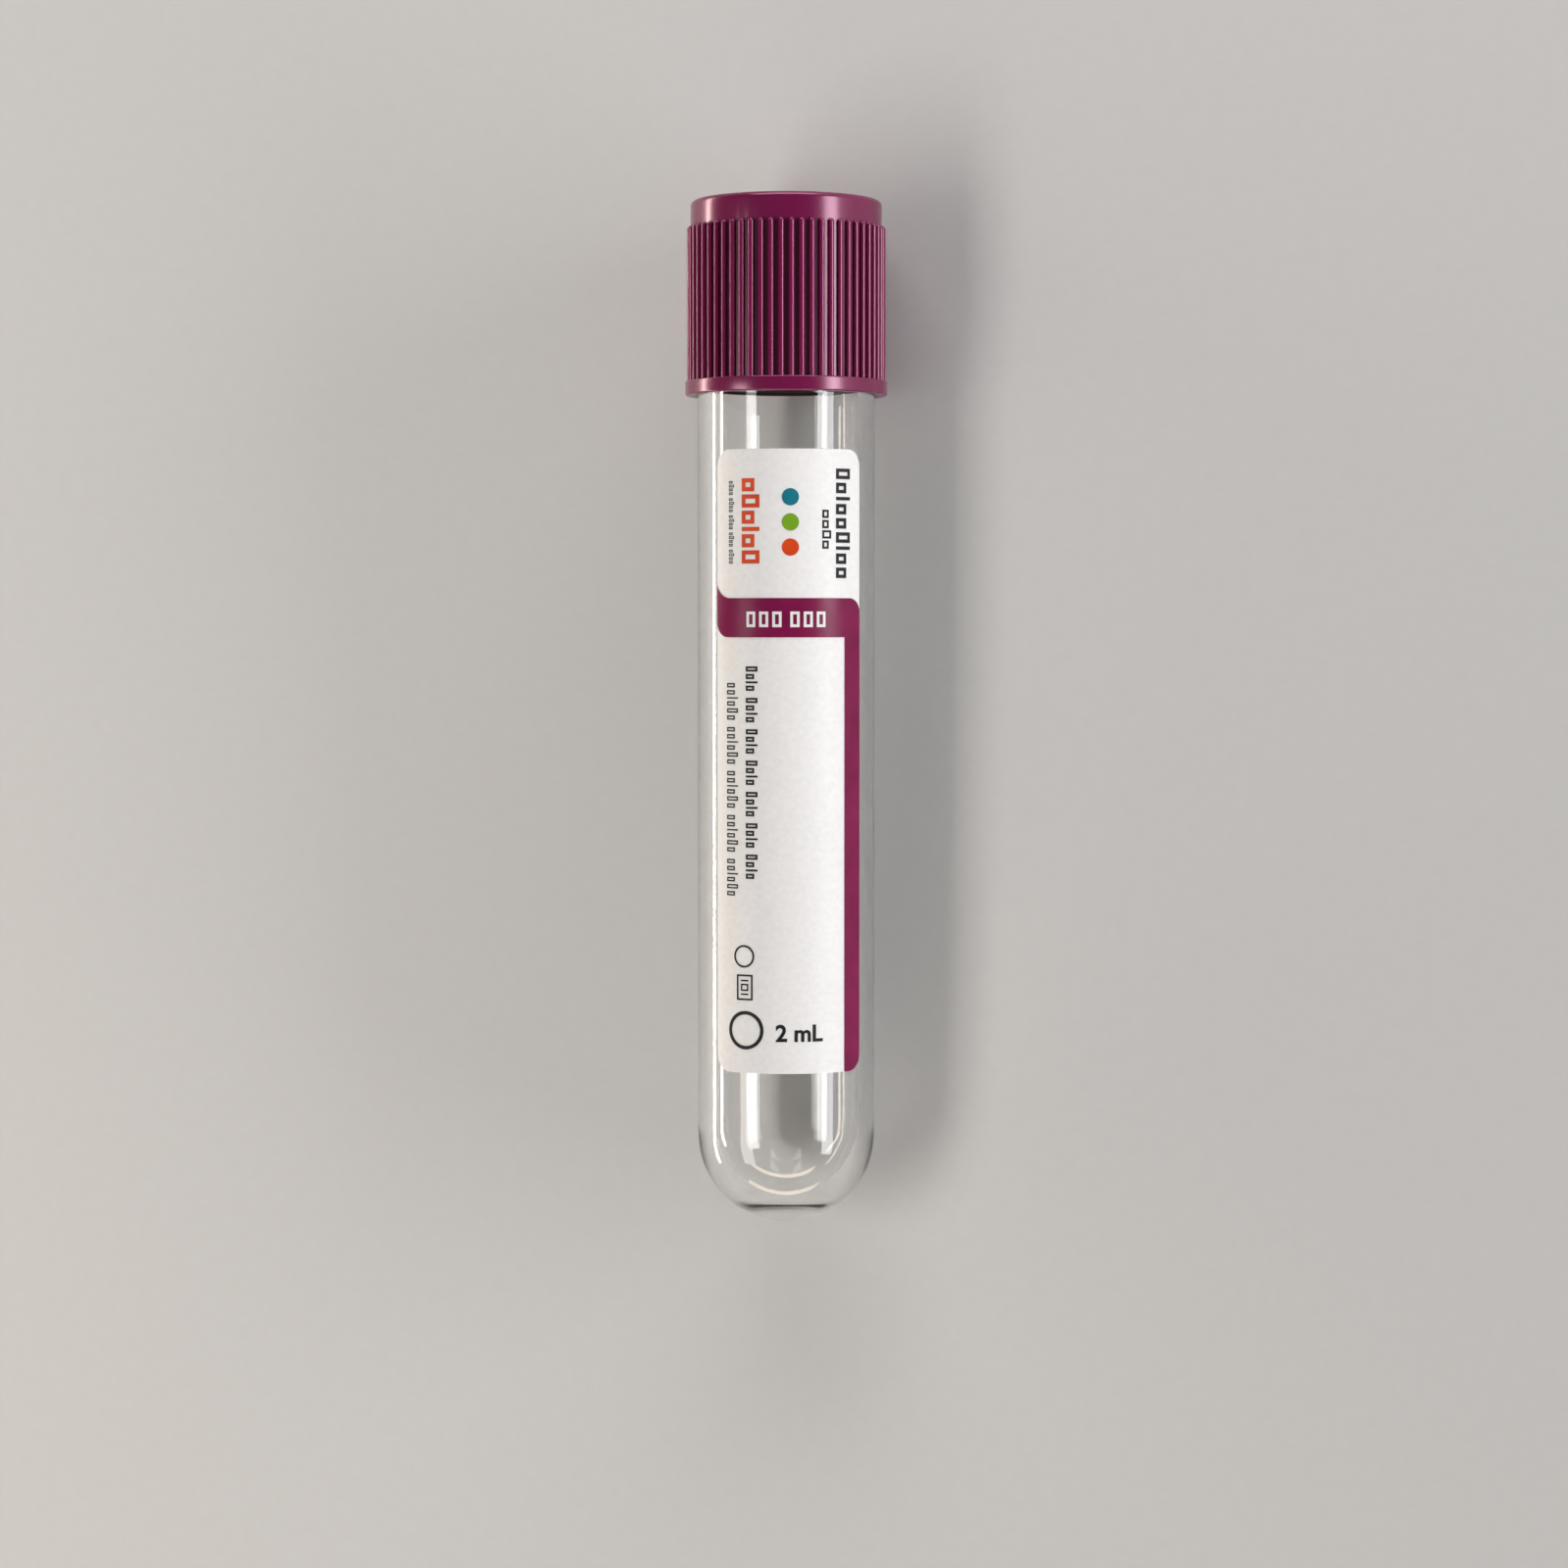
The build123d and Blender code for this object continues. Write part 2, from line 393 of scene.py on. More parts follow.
tube_top = measured("tube")[2].max()
cap_low, cap_top = measured("cap")[2].min(), measured("cap")[2].max()
bore_r = tube_r - tube_wall
neck_r = tube_r - neck_rebate
bore_centre = floor_thickness + math.sqrt(bore_r**2 - floor_flat_r**2)
shoulder = tube_r + body_mount["dims"]["length_mm"]

dome_angle = np.linspace(0, math.pi / 2, 40)
dome = np.stack([tube_r * np.sin(dome_angle), tube_r - tube_r * np.cos(dome_angle)], axis=1)
wall = rounded([
    (tube_r, tube_r, 0),
    (tube_r, shoulder, 0),
    (neck_r, shoulder + neck_rebate, 0),
    (neck_r, tube_top, rim_round),
    (bore_r, tube_top, rim_round),
    (bore_r, bore_centre, 0),
])

# the round end of the bore and the smaller round that meets its flat floor, turned from straight down
drop = bore_centre - floor_thickness - floor_round
round_centre_r = math.sqrt((bore_r - floor_round) ** 2 - drop**2)
meeting = math.atan2(round_centre_r, drop)
bore_turn = np.linspace(math.pi / 2, meeting, 24)[1:]
bore_end = np.stack([bore_r * np.sin(bore_turn), bore_centre - bore_r * np.cos(bore_turn)], axis=1)
floor_turn = np.linspace(meeting, 0, 16)[1:]
floor_end = np.stack([
    round_centre_r + floor_round * np.sin(floor_turn),
    floor_thickness + floor_round - floor_round * np.cos(floor_turn),
], axis=1)
tube_outline = np.vstack([dome, wall[1:], bore_end, floor_end, [[0, floor_thickness]]])
tube_points, tube_faces = turned(tube_outline, columns=256)
add_piece("glass_tube", tube_points, tube_faces, clear_glass(), "clear_glass", "barrel", "tube")

# %% [markdown]
# ## The stopper
# The rubber stopper seals the tube and lets a needle through. Its head sits on the rim, its plug
# fills the neck, the needle well opens upwards and the hollow underside opens downwards. Two borings
# could be cut out of a plug, but all of it is round the same axis, so one outline holds it too.

# %% Make the stopper
well_r = 3.1
well_depth = 3.2
diaphragm = 2.8
plug_gap = 0.03
plug_wall = 1.9
plug_round = 0.6
head_round = 0.2
well_round, well_rim_round = 0.3, 0.15
hollow_round, hollow_rim_round = 1.2, 0.3

head_r = measured("stopper")[1].max()
plug_low, head_top = measured("stopper")[2].min(), measured("stopper")[2].max()
plug_r = bore_r - plug_gap
hollow_r = plug_r - plug_wall
well_floor = head_top - well_depth
stopper_outline = rounded([
    (0, well_floor - diaphragm, 0),
    (hollow_r, well_floor - diaphragm, hollow_round),
    (hollow_r, plug_low, hollow_rim_round),
    (plug_r, plug_low, plug_round),
    (plug_r, tube_top, 0),
    (head_r, tube_top, head_round),
    (head_r, head_top, head_round),
    (well_r, head_top, well_rim_round),
    (well_r, well_floor, well_round),
    (0, well_floor, 0),
])
add_piece("rubber_stopper", *turned(stopper_outline), stopper_rubber(), "stopper_rubber", "closure",
          "stopper")

# %% [markdown]
# ## The closure shell
# The shell is one moulding: a flange round its mouth, sixty fine ribs for grip, a smooth band above
# them and a port for the needle. Sixty rods could be pushed into a plain cap, but their ends would
# cut sharp lines across it. One grid is used for all of it instead. Below and above the ribs it
# follows two outlines, which are the same all the way round.

# %% The shell's plain outlines
flange_height = 1.05
flange_round_low, flange_round_high = 0.15, 0.1
skirt_wall = 0.58
mouth_chamfer = 0.4
skirt_gap = 0.12
top_round = 0.4
port_round = 0.15
plain_band = 1.9
band_start = 0.02

flange_r = measured("cap")[1].max()
port_r = port_mount["dims"]["r_mm"]
cap_inner_r = neck_r + skirt_gap
cap_r = cap_inner_r + skirt_wall
flange_top = cap_low + flange_height
rib_top = cap_top - plain_band

below_ribs = rounded([
    (cap_inner_r, cap_low + mouth_chamfer, 0),
    (cap_inner_r + mouth_chamfer, cap_low, 0),
    (flange_r, cap_low, flange_round_low),
    (flange_r, flange_top, flange_round_high),
    (cap_r, flange_top, 0),
])[:-1]
above_ribs = rounded([
    (cap_r, rib_top + band_start, 0),
    (cap_r, cap_top, top_round),
    (port_r, cap_top, port_round),
    (port_r, head_top, 0),
    (cap_inner_r, head_top, 0),
    (cap_inner_r, cap_low + mouth_chamfer, 0),
], steps=8)[:-1]
print("smooth side", round(2 * cap_r, 2), "mm across, flange", round(2 * flange_r, 2), "mm across")

# %% [markdown]
# Each rib is a half-round rod with a half-round top end. The grid has sixteen columns to each rib:
# its foot, the round of the rod, the other foot and the middle of the gap. Where the rod ends, its
# columns draw together over the end, so the faces follow the round and no step shows.

# %% The ribs' angles, radii and heights
rib_count = 60
rib_width, rib_proud = 0.42, 0.28
foot_width = 0.012

# a rod of this radius, its centre lifted this far out of the side, is as wide and as proud as a rib
rod_r = (rib_proud**2 + (rib_width / 2) ** 2) / (2 * rib_proud)
rod_lift = rib_proud - rod_r
rod_turn = np.radians(np.arange(-90, 91, 15))
across_rib = np.concatenate([[-rod_r - foot_width], rod_r * np.sin(rod_turn), [rod_r + foot_width]])
crest_share = np.concatenate([[0], np.cos(rod_turn), [0]])
lift_share = np.concatenate([[0], np.ones(len(rod_turn)), [0]])

pitch = 2 * math.pi / rib_count
rib_middle = (np.arange(rib_count) + 0.5) * pitch
end_turn = np.radians([0, 0, 15, 30, 45, 60, 75, 86])
narrowing = np.cos(end_turn)
rib_heights = rib_top - rod_r + rod_r * np.sin(end_turn)
rib_heights[0] = flange_top

# angle over (rib, column, row) and radius over (column, row); the gap's middle is the last column
rib_angle = rib_middle[:, None, None] + across_rib[None, :, None] * narrowing / cap_r
rib_radius = cap_r + rod_lift * lift_share[:, None] + rod_r * crest_share[:, None] * narrowing
gap_angle = np.broadcast_to((rib_middle + pitch / 2)[:, None, None], (rib_count, 1, len(end_turn)))
gap_radius = np.full((1, len(end_turn)), cap_r)
rib_angle = np.concatenate([rib_angle, gap_angle], axis=1).reshape(-1, len(end_turn))
rib_radius = np.tile(np.concatenate([rib_radius, gap_radius]), (rib_count, 1))
print(rib_count, "ribs of", round(rib_top - flange_top, 2), "mm,", round(pitch * cap_r, 3), "mm apart")

# %% [markdown]
# The three parts are laid side by side, so that each column of the grid runs once round the shell's
# section. The mesh then gets two attributes for its finish: crest is how far up a rib a corner is, and
# the groove mask is 1 between the ribs and fades out past their tops. The finish polishes the crests
# and paints a lighter highlight on them with the first, and paints shade into the grooves with the
# second.

# %% Make the closure shell
shell_crease_deg = 50
plain = np.ones(len(rib_angle))[:, None]
shell_angle = np.hstack([
    rib_angle[:, :1] * np.ones(len(below_ribs)),
    rib_angle,
    rib_angle[:, :1] * np.ones(len(above_ribs)),
])
shell_radius = np.hstack([plain * below_ribs[:, 0], rib_radius, plain * above_ribs[:, 0]])
shell_height = np.hstack([plain * below_ribs[:, 1], plain * rib_heights, plain * above_ribs[:, 1]])
shell_points = around(shell_angle, shell_radius, shell_height)
shell_faces = grid_faces(*shell_angle.shape, round_rows=True, round_columns=True)
shell = add_piece("closure_shell", shell_points, shell_faces, closure_plastic(), "cap_plastic",
                  "closure", "cap", shell_crease_deg)

rib_rows = slice(len(below_ribs), len(below_ribs) + len(rib_heights))
up_rib = np.clip((rib_radius - cap_r) / rib_proud, 0, 1)
# the groove mask paints shade into the closure's grooves, and the crest mask paints a lighter
# highlight on the crests
for name, value in {"crest": up_rib, "groove": (1 - up_rib) * (1 - np.sin(end_turn))}.items():
    share = np.zeros_like(shell_radius)
    share[:, rib_rows] = value
    shell.data.attributes.new(name, "FLOAT", "POINT").data.foreach_set("value", share.ravel())
    print(name, "goes from", share.min(), "to", round(share.max(), 3))

# %% [markdown]
# ## Flat work, wrapped
# A label is printed and cut flat, and only then rolled onto the tube. Its shapes could be projected
# onto the glass, but the meshes are made in the label's own order, which keeps their lengths true:
# each shape is drawn flat, in millimetres across from the front and up from the tip, cut into narrow
# strips so that it can bend, given its thickness, and then wrapped.


# %% Helpers for flat work
label_angle, label_radius, label_height = measured("label")
label_r = label_radius.max()
paper_r = label_radius.min()
label_left, label_right = label_angle.min() * label_r, label_angle.max() * label_r
label_low, label_high = label_height.min(), label_height.max()
label_span = (label_left, label_right, label_low, label_high)
print("label left, right, low and high in mm", [round(float(edge), 2) for edge in label_span])


def corner_rounds(left, low, wide, high, radii, steps=10):
    """A rectangle's outline with each corner rounded, from the lower left one, anticlockwise."""
    quarter = np.linspace(0, math.pi / 2, steps + 1)
    points = []
    for number, radius in enumerate(radii):
        x = wide - radius if number in (1, 2) else left + radius
        z = high - radius if number in (2, 3) else low + radius
        turn = quarter + math.pi + number * math.pi / 2
        if radius == 0:
            points.append([[x, z]])
        else:
            points.append(np.stack([x + radius * np.cos(turn), z + radius * np.sin(turn)], axis=1))
    return np.vstack(points)


def sheet(outline):
    """A flat shape as its points and one face round them."""
    return outline, [list(range(len(outline)))]


# %% Strips wrapped round the tube
merge_flat = 1e-4  # millimetres: corners nearer than this are one


def wrapped(name, shapes, inner_r, outer_r, finish, slot, node=None, strip_mm=0.25):
    """Flat shapes cut into strips, thickened and wrapped: angle = across / radius, in radians.

    A flat place (across, up, depth) goes to the angle across / label_r, the radius inner_r + depth
    and the height up.
    """
    shape = bmesh.new()
    for points, faces in shapes:
        corners = [shape.verts.new((x, z, 0)) for x, z in points]
        for face in faces:
            shape.faces.new([corners[index] for index in face])
    bmesh.ops.remove_doubles(shape, verts=shape.verts, dist=merge_flat)
    low = min(corner.co.x for corner in shape.verts)
    high = max(corner.co.x for corner in shape.verts)
    for cut in np.arange(math.ceil(low / strip_mm) * strip_mm, high, strip_mm):
        everything = shape.verts[:] + shape.edges[:] + shape.faces[:]
        bmesh.ops.bisect_plane(shape, geom=everything, plane_co=(cut, 0, 0), plane_no=(1, 0, 0))
    lower = shape.faces[:]
    made = bmesh.ops.extrude_face_region(shape, geom=lower, use_keep_orig=True)["geom"]
    lifted = [part for part in made if isinstance(part, bmesh.types.BMVert)]
    bmesh.ops.translate(shape, verts=lifted, vec=(0, 0, outer_r - inner_r))
    bmesh.ops.recalc_face_normals(shape, faces=shape.faces)
    shape.verts.index_update()
    flat = np.array([corner.co for corner in shape.verts])
    faces = [[corner.index for corner in face.verts] for face in shape.faces]
    shape.free()
    points = around(flat[:, 0] / label_r, inner_r + flat[:, 2], flat[:, 1])
    add_piece(name, points, faces, finish, slot, "barrel", node)


# %% [markdown]
# ## The label
# The label is coated paper with four rounded corners, and it leaves clear glass above, below and
# beside it. It is a sheet with real thickness, not a picture on the glass, so its edge catches light.

# %% Make the label
label_corner = 1.2
paper = corner_rounds(label_left, label_low, label_right, label_high, [label_corner] * 4)
wrapped("paper_label", [sheet(paper)], paper_r, label_r, label_paper(), "label_paper", "label")

# %% [markdown]
# ## The colour field
# A purple band crosses the label. Its upper edge sweeps up the label's left side in a quarter
# circle, and a stripe runs from it down the right side. A band and a stripe of their own would
# overlap and flicker, so the whole field is one flat outline, anticlockwise from the stripe's foot.

# %% Make the colour field
band_drop = 10.7
band_height = 2.82
band_corner = 1.1
sweep_r, sweep_cut = 1.35, 0.08
stripe_width = 1.58

field_radius = measured("label_band")[1]
band_top = label_high - band_drop
band_low = band_top - band_height
stripe_left = label_right - stripe_width
quarter = np.linspace(0, math.pi / 2, 12)
sweep_turn = np.linspace(math.acos((sweep_r - sweep_cut) / sweep_r), math.pi / 2, 14)
sweep_right = label_left + sweep_r - sweep_cut
field = np.vstack([
    [[stripe_left, label_low]],
    np.stack([label_right - label_corner + label_corner * np.sin(quarter),
              label_low + label_corner - label_corner * np.cos(quarter)], axis=1),
    np.stack([label_right - band_corner + band_corner * np.cos(quarter),
              band_top - band_corner + band_corner * np.sin(quarter)], axis=1),
    np.stack([sweep_right - sweep_r * np.cos(sweep_turn[::-1]),
              band_top + sweep_r - sweep_r * np.sin(sweep_turn[::-1])], axis=1),
    np.stack([label_left + band_corner - band_corner * np.cos(quarter),
              band_low + band_corner - band_corner * np.sin(quarter)], axis=1),
    [[stripe_left, band_low]],
])
wrapped("colour_field", [sheet(field)], field_radius.min(), field_radius.max(),
        ink("purple_ink", (0.22, 0.009, 0.07), (0.17, 0.006, 0.053), 0.3), "label_print", "label_band")

# %% [markdown]
# ## Small print
# The words on such a label say whose it is and what it is for. Here they are only the look of print:
# hollow boxes and bars in even groups, which spell nothing. A line is written as a pattern, with o
# and i for a low box and bar, O and l for tall ones, and a space between groups. Plain discs, rings
# and a box stand in the places of signs, and only the tube's volume can be read.


# %% Boxes, rings and discs
def band_between(inner, outer):
    """A flat band between two outlines with as many points, as a ring of quads."""
    steps = len(inner)
    here = np.arange(steps)
    after = (here + 1) % steps
    faces = np.stack([here, after, after + steps, here + steps], axis=1)
    return np.vstack([inner, outer]), faces.tolist()


def box_corners(left, low, wide, high):
    """The four corners of a rectangle, whose right edge is called wide here."""
    return np.array([[left, low], [wide, low], [wide, high], [left, high]])


def box_line(left, low, wide, high, line):
    """The outline of a rectangle, drawn with a line's width."""
    inner = box_corners(left + line, low + line, wide - line, high - line)
    return band_between(inner, box_corners(left, low, wide, high))


def ring(x, z, outer, line, steps=40):
    """A ring of a line's width inside an outer radius."""
    turn = np.linspace(0, 2 * math.pi, steps, endpoint=False)
    circle = np.stack([np.cos(turn), np.sin(turn)], axis=1)
    return band_between([x, z] + (outer - line) * circle, [x, z] + outer * circle)


def disc(x, z, radius, steps=28):
    """A plain disc as a circle of points and one face."""
    turn = np.linspace(0, 2 * math.pi, steps, endpoint=False)
    return sheet(np.stack([x + radius * np.cos(turn), z + radius * np.sin(turn)], axis=1))


# %% Lines of print and letters
space_share, low_share = 0.55, 0.72
letter_boldness = 0.026


def print_line(pattern, left, low, wide, high, line, downwards=True, gap=0.25):
    """A line of print that fills a rectangle, running down the label or across it.

    Every letter starts where the last one ended, after a gap that is a share of the line's height.
    Boxes are all as long, bars are as long as the drawn line is wide, and the boxes' length is what
    makes the whole fit. A space and the low letters are shares of the line's height too.
    """
    tall = wide - left if downwards else high - low
    length = high - low if downwards else wide - left
    gap, space = gap * tall, space_share * tall
    bars = sum(pattern.count(letter) for letter in "il")
    boxes = sum(pattern.count(letter) for letter in "oO")
    spaces = pattern.count(" ")
    gaps = len(pattern) - 1 - 2 * spaces
    box = (length - bars * line - gaps * gap - spaces * space) / boxes
    shapes, start, pending = [], 0.0, 0.0
    for letter in pattern:
        if letter == " ":
            start, pending = start + space, 0.0
            continue
        start += pending
        end = start + (line if letter in "il" else box)
        share = 1.0 if letter in "lO" else low_share
        if downwards:
            corners = left, high - end, left + share * tall, high - start
        else:
            corners = left + start, low, left + end, low + share * tall
        hollow = letter in "oO"
        shapes.append(box_line(*corners, line) if hollow else sheet(box_corners(*corners)))
        start, pending = end, gap
    return shapes


def lettering(text, left, low, high):
    """Upright letters as flat triangles, as tall as the space from low to high."""
    curve = bpy.data.curves.new("lettering", "FONT")
    curve.body = text
    curve.resolution_u = 6
    curve.offset = letter_boldness
    holder = bpy.data.objects.new("lettering", curve)
    flat = bpy.data.meshes.new_from_object(holder)
    points = np.array([corner.co[:2] for corner in flat.vertices])
    faces = [list(face.vertices) for face in flat.polygons]
    bpy.data.objects.remove(holder)
    bpy.data.meshes.remove(flat)
    bpy.data.curves.remove(curve)
    corner, size = points.min(axis=0), np.ptp(points, axis=0)
    return [((points - corner) * (high - low) / size[1] + [left, low], faces)]


# %% Make the black print
ink_gap, ink_film = 0.01, 0.012


def printed(name, shapes, finish, under_r=label_r):
    """Print on the label, or on whatever reaches out to the radius under it."""
    start = under_r + ink_gap
    wrapped(name, shapes, start, start + ink_film, finish, "label_print")


# each line of print is given as its pattern, its left, low, right and high edge, and its line's width
side_title = print_line("OolooOloo", 3.78, 47.39, 5.06, 55.27, 0.25, gap=0.2)
side_subtitle = print_line("ooOo", 2.66, 49.49, 3.37, 52.29, 0.15, gap=0.2)
tiny_line = print_line("oOoo oOoo oOoo oOoo oOoo", -4.44, 48.44, -4.0, 54.37, 0.055, gap=0.2)
bold_line = print_line("Oolo Oolo Oolo Oolo Oolo Oolo Oolo", -3.01, 25.72, -2.1, 41.04, 0.14, gap=0.18)
thin_line = print_line("ooloOo ooloOo ooloOo ooloOo ooloOo", -4.63, 24.47, -3.67, 39.83, 0.1, gap=0.2)
signs = [ring(-3.17, 20.1, 0.82, 0.14), box_line(-3.76, 16.92, -2.48, 18.78, 0.13)]
signs += print_line("lOl", -3.42, 17.3, -2.82, 18.4, 0.11, gap=0.3) + [ring(-3.05, 14.75, 1.4, 0.26)]
volume = lettering("2 mL", -0.76, 13.96, 15.22)
black_shapes = side_title + side_subtitle + tiny_line + bold_line + thin_line + signs + volume
printed("black_print", black_shapes, ink("black_ink", (0.02, 0.02, 0.022), (0.01, 0.01, 0.011), 0.5))

# %% Make the coloured and the white print
disc_x, disc_r = 0.3, 0.62
teal_disc, green_disc, orange_disc = (disc(disc_x, z, disc_r) for z in (53.2, 51.4, 49.6))
orange_shapes = print_line("oOoloO", -3.33, 48.43, -1.95, 54.55, 0.3, gap=0.16) + [orange_disc]
printed("orange_print", orange_shapes, ink("orange_ink", (0.72, 0.075, 0.012), (0.6, 0.05, 0.01)))
printed("teal_print", [teal_disc], ink("teal_ink", (0.01, 0.21, 0.27), (0.008, 0.16, 0.22)))
printed("green_print", [green_disc], ink("green_ink", (0.2, 0.4, 0.02), (0.15, 0.33, 0.015)))
white_shapes = print_line("OOO OOO", -2.93, 43.86, 2.89, 44.98, 0.2, downwards=False, gap=0.26)
white = ink("white_ink", (0.86, 0.85, 0.85), (0.8, 0.79, 0.79))
printed("white_print", white_shapes, white, field_radius.max())

# %% [markdown]
# ## The floor
# The tube lies on a plain pale floor. Light from a lamp fades with distance, so a real floor is
# bright near the tube and dark far off, and a picture from the side would end in a dark band. A huge
# lamp would light it evenly, but would also take the soft shadow away. Here the floor turns softly
# into one even tone a little way from the tube. The even tone is given only to rays that look at the
# floor, straight or through gloss and glass, so that it lights nothing.

# %% The floor's material
floor_tone = (0.56, 0.555, 0.55)
even_from, even_at = 0.1, 0.35


def looked_at(tree):
    """1 for a ray that looks at a surface, straight or by way of gloss or glass, and 0 for others."""
    light_path = tree.nodes.new("ShaderNodeLightPath")
    value = light_path.outputs["Is Camera Ray"]
    for kind in ("Is Glossy Ray", "Is Transmission Ray"):
        largest = tree.nodes.new("ShaderNodeMath")
        largest.operation = "MAXIMUM"
        tree.links.new(value, largest.inputs[0])
        tree.links.new(light_path.outputs[kind], largest.inputs[1])
        value = largest.outputs[0]
    return value


def pale_floor(middle):
    """A matt pale floor that turns into one even tone away from the middle."""
    material, tree, shader, place = new_finish("pale_floor")
    specks = noise(tree, place, 900)
    tint(tree, specks, (0.645, 0.645, 0.64), (0.66, 0.66, 0.655), shader.inputs["Base Color"])
    shader.inputs["Roughness"].default_value = 0.6
    even = tree.nodes.new("ShaderNodeEmission")
    even.inputs["Color"].default_value = (*floor_tone, 1)
    distance = tree.nodes.new("ShaderNodeVectorMath")
    distance.operation = "DISTANCE"
    distance.inputs[1].default_value = middle
    tree.links.new(place, distance.inputs[0])
    fade = tree.nodes.new("ShaderNodeMapRange")
    fade.interpolation_type = "SMOOTHSTEP"
    fade.inputs["From Min"].default_value = even_from
    fade.inputs["From Max"].default_value = even_at
    tree.links.new(distance.outputs["Value"], fade.inputs["Value"])
    share = tree.nodes.new("ShaderNodeMath")
    share.operation = "MULTIPLY"
    tree.links.new(fade.outputs["Result"], share.inputs[0])
    tree.links.new(looked_at(tree), share.inputs[1])
    mix = tree.nodes.new("ShaderNodeMixShader")
    tree.links.new(share.outputs[0], mix.inputs["Fac"])
    tree.links.new(shader.outputs["BSDF"], mix.inputs[1])
    tree.links.new(even.outputs["Emission"], mix.inputs[2])
    tree.links.new(mix.outputs["Shader"], tree.nodes["Material Output"].inputs["Surface"])
    return material


# %% Make the floor
floor_reach = 1.5
floor_corners = np.array([[-1, -1], [1, -1], [1, 1], [-1, 1]]) * floor_reach
floor_mesh = bpy.data.meshes.new("floor")
floor_mesh.from_pydata([(x, y, cad_low.z) for x, y in floor_corners], [], [(0, 1, 2, 3)])
floor_mesh.materials.append(pale_floor((cad_low + cad_high) / 2))
floor = bpy.data.objects.new("floor", floor_mesh)
bpy.context.scene.collection.objects.link(floor)
print("floor at", round(cad_low.z / mm, 2), "mm, even from", even_at, "m")

# %% [markdown]
# ## The world
# The world is all that lies beyond the floor and the lamps. At its horizon it has the floor's even
# tone, so no line shows where the floor ends. Overhead it is dark, because a glossy plastic mirrors
# what is over it, and a pale world would wash its colour out. A ramp turns one tone into the other
# as a ray's rise goes from the horizon's to the overhead one.

# %% Make the world
overhead_tone = (0.09, 0.09, 0.094)
horizon_rise, overhead_rise = 0.04, 0.32

world = bpy.data.worlds.new("studio")
bpy.context.scene.world = world
world.use_nodes = True
tree = world.node_tree
rise = tree.nodes.new("ShaderNodeSeparateXYZ")
tree.links.new(tree.nodes.new("ShaderNodeTexCoord").outputs["Generated"], rise.inputs["Vector"])
sky = tree.nodes.new("ShaderNodeValToRGB")
sky.color_ramp.elements[0].position = horizon_rise
sky.color_ramp.elements[0].color = (*floor_tone, 1)
sky.color_ramp.elements[1].position = overhead_rise
sky.color_ramp.elements[1].color = (*overhead_tone, 1)
tree.links.new(rise.outputs["Z"], sky.inputs["Fac"])
tree.links.new(sky.outputs["Color"], tree.nodes["Background"].inputs["Color"])
print("world from", floor_tone, "at the horizon to", overhead_tone, "overhead")


# %% [markdown]
# ## Lamps
# Glass and glossy plastic show the lamps themselves, so each lamp's shape and place is the shape and
# place of a highlight. Two long soft lamps stand beside the tube, parallel to it, and each draws one
# long streak down the glass. The right one also draws a bright line on every rib; the left one is
# shifted towards the round bottom, so that the closure doesn't mirror it and its left side stays deep
# in colour. A third, narrow and warm, lies low on the left and draws a thin bright streak near that
# edge. Two more lie across the tube's ends, low down: one draws lines along the closure's edges and
# round the tops of its ribs, and one draws warm arcs in the round bottom. They are hidden from the
# camera only.

# %% Helpers for lamps
lamps_face = 40.0


def soft_lamp(name, towards, long_side, distance, length, width, watts, colour, faced=lamps_face):
    """A lamp whose light comes from the direction towards, seen from a height of the tube in mm.

    Its place is that height on the axis + distance * towards, and its long side is as given.
    Distance, length and width are in metres.
    """
    data = bpy.data.lights.new(name, "AREA")
    data.shape = "RECTANGLE"
    data.size, data.size_y = width, length
    data.energy = watts
    data.color = colour
    lamp = bpy.data.objects.new(name, data)
    away = unit(towards)
    place = around(0.0, 0.0, faced) + distance * away
    axes = np.stack([np.cross(long_side, away), long_side, away], axis=1)
    lamp.matrix_world = Matrix.Translation(Vector(place)) @ Matrix(axes.tolist()).to_4x4()
    lamp.visible_camera = False
    bpy.context.scene.collection.objects.link(lamp)
    print(name, "at", [round(v / mm) for v in place], "mm,", watts, "W")


def side_lamp(name, side_deg, distance, length, width, watts, colour, faced=lamps_face):
    """A lamp parallel to the tube: its direction is sin(side) * right + cos(side) * front."""
    side = math.radians(side_deg)
    towards = math.sin(side) * right + math.cos(side) * front
    soft_lamp(name, towards, along, distance, length, width, watts, colour, faced)


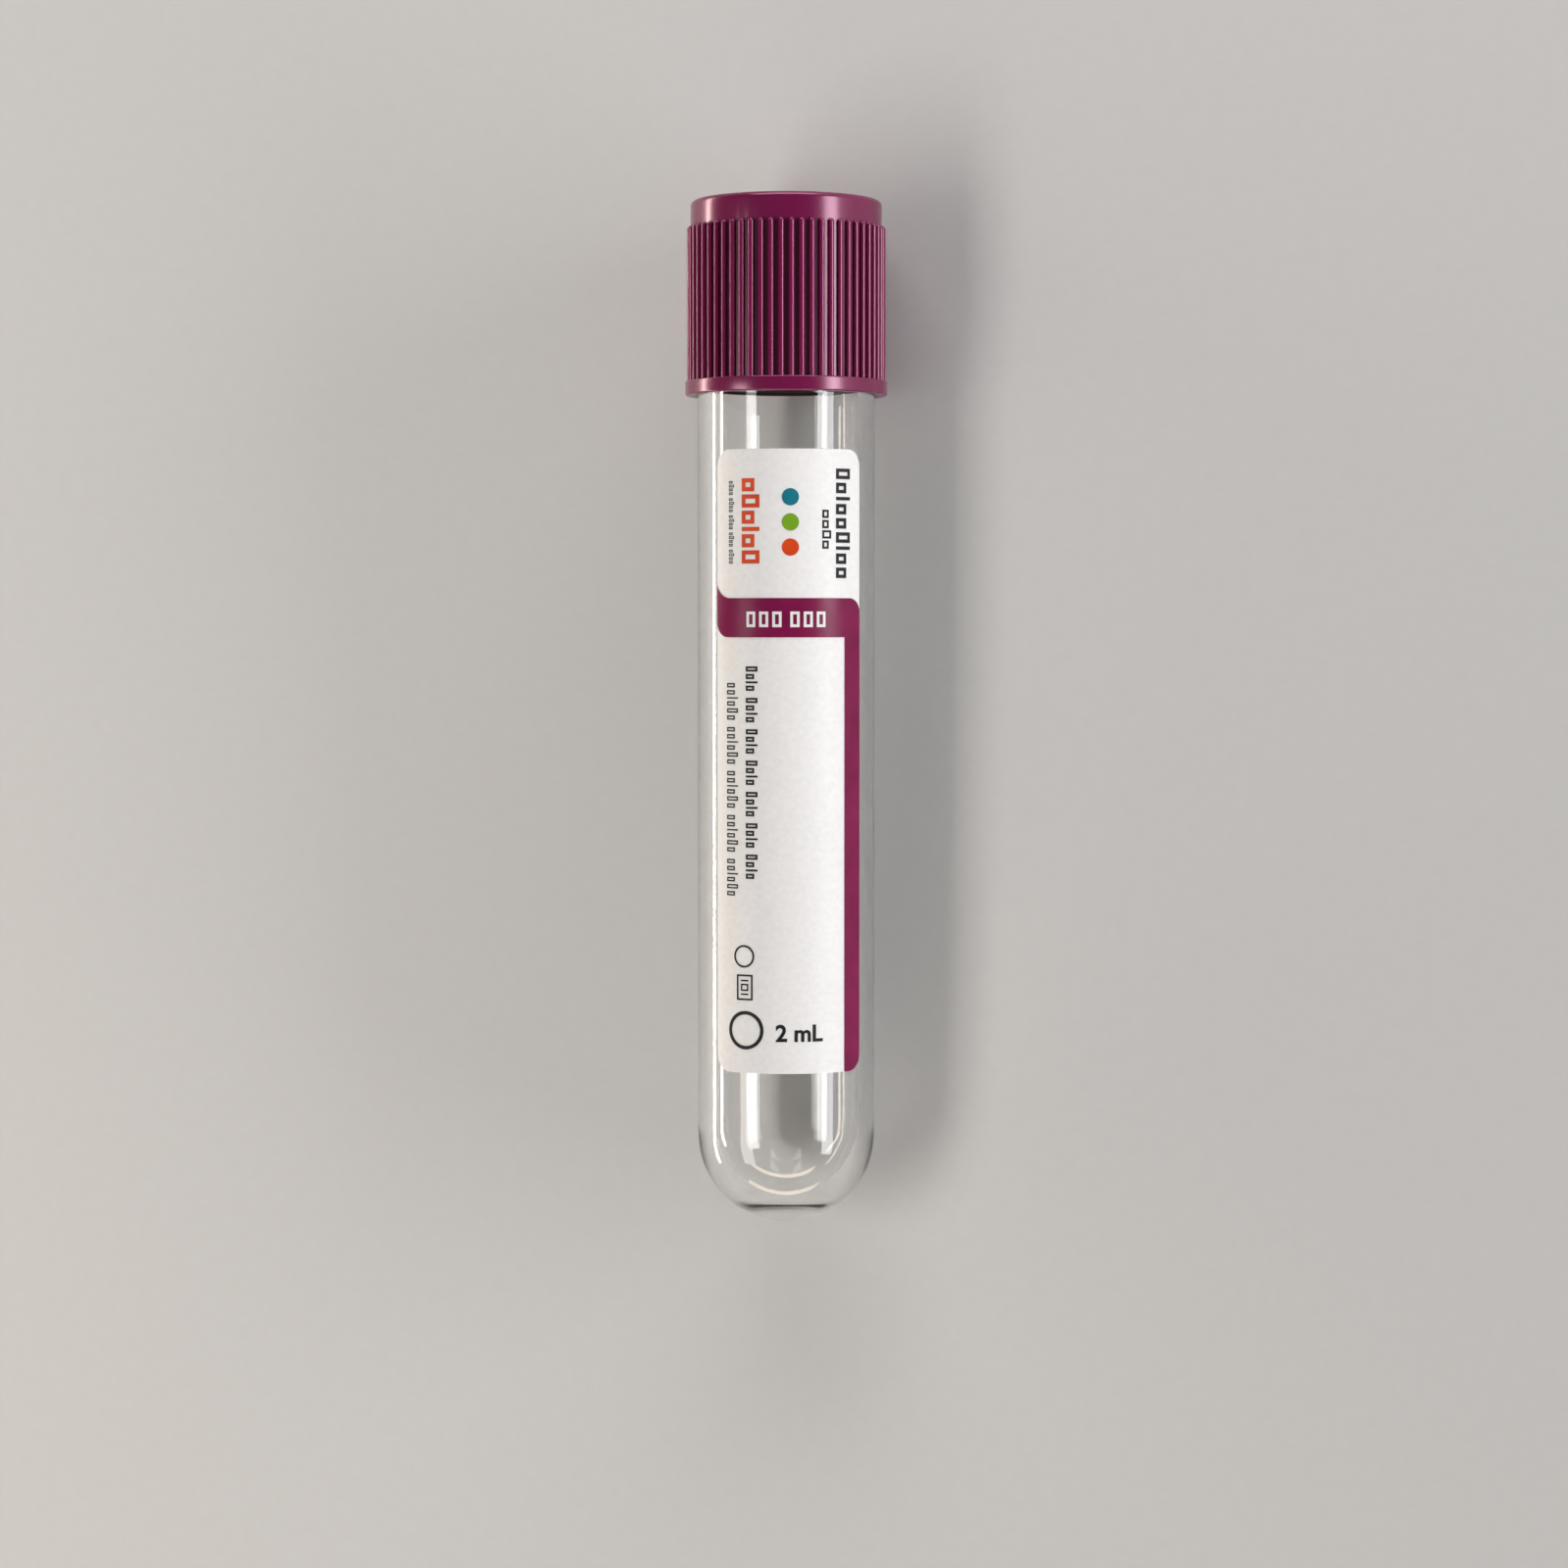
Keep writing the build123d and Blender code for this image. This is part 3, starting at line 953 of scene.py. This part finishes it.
def end_lamp(name, ahead, rise_deg, distance, length, width, watts, colour):
    """A lamp across the tube's end: ahead * cos(rise) * along + sin(rise) * front.

    ahead is 1 for the closure's end and -1 for the round bottom.
    """
    rise = math.radians(rise_deg)
    towards = ahead * math.cos(rise) * along + math.sin(rise) * front
    soft_lamp(name, towards, right, distance, length, width, watts, colour)


# %% Make the lamps
# direction in degrees, then distance, length and width in metres, watts, colour and the height faced
side_lamp("left_strip", -53, 0.4, 0.32, 0.12, 0.72, (1.0, 0.95, 0.9), -85.0)
side_lamp("right_strip", 55, 0.4, 0.36, 0.112, 1.14, (0.99, 0.985, 1.0))
side_lamp("left_edge", -107, 0.3, 0.36, 0.03, 0.6, (1.0, 0.88, 0.74))
end_lamp("top_edge", 1, 23, 0.36, 0.36, 0.15, 0.72, (1.0, 0.97, 0.95))
end_lamp("round_end", -1, 12, 0.36, 0.5, 0.036, 0.38, (1.0, 0.84, 0.62))

# %% [markdown]
# ## The camera
# The camera looks down on the middle of the tube with a fairly long lens, so the tube's sides stay
# parallel. A lens with no perspective would draw the closure's edges as straight lines. This one is
# tipped a little, so that the closure's top edge arches up and the label's lower edge hangs down. Its
# place is given from the tip: to the right, in front and up the tube, in millimetres.

# %% Camera
tip_down_deg = 2.4
camera_right, camera_front, camera_along = -0.16, 272.6, 43.74

camera_data = bpy.data.cameras.new("camera")
camera_data.lens, camera_data.sensor_width = 85, 36
camera_data.clip_start, camera_data.clip_end = 0.01, 10
camera = bpy.data.objects.new("camera", camera_data)
bpy.context.scene.collection.objects.link(camera)
bpy.context.scene.camera = camera
tipped = math.radians(tip_down_deg)
backwards = math.cos(tipped) * front + math.sin(tipped) * along
upwards = math.cos(tipped) * along - math.sin(tipped) * front
camera_place = tip + mm * (camera_right * right + camera_front * front + camera_along * along)
axes = np.stack([right, upwards, backwards], axis=1)
camera.matrix_world = Matrix.Translation(Vector(camera_place)) @ Matrix(axes.tolist()).to_4x4()
print("camera at", [round(v / mm, 1) for v in camera_place], "mm")

# %% [markdown]
# ## Finish
# The colours are shown as they are, with no film look laid over them.

# %% Finish
bpy.context.scene.view_settings.view_transform = "Standard"
